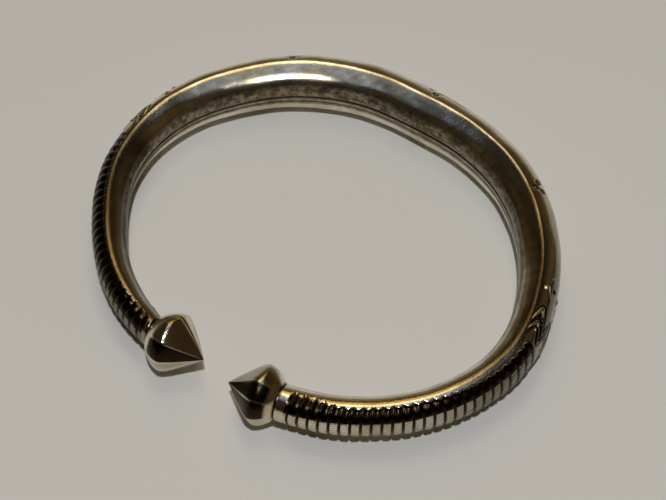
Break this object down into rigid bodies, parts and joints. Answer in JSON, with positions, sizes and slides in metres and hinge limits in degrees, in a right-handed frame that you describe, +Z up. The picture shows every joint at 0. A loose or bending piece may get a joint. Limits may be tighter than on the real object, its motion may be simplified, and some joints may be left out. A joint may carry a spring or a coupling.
{
  "type": "penannular bangle",
  "caption": "Open oval silver bangle with ribbed and chased arms and a pointed bud on each end, lying on its side.",
  "frame": {"origin": "middle of the whole bangle's box in plan, on the surface that it lies on", "axes": "+X along the longer side of the oval, -Y through the opening between the buds, +Z up through the wrist opening"},
  "size_m": [0.0794, 0.0706, 0.0097],
  "materials": {
    "old_silver": "worn polish with darkened recesses"
  },
  "bodies": {
    "root": {"hoop": "old_silver", "left_finial": "old_silver", "right_finial": "old_silver"}
  },
  "joints": []
}
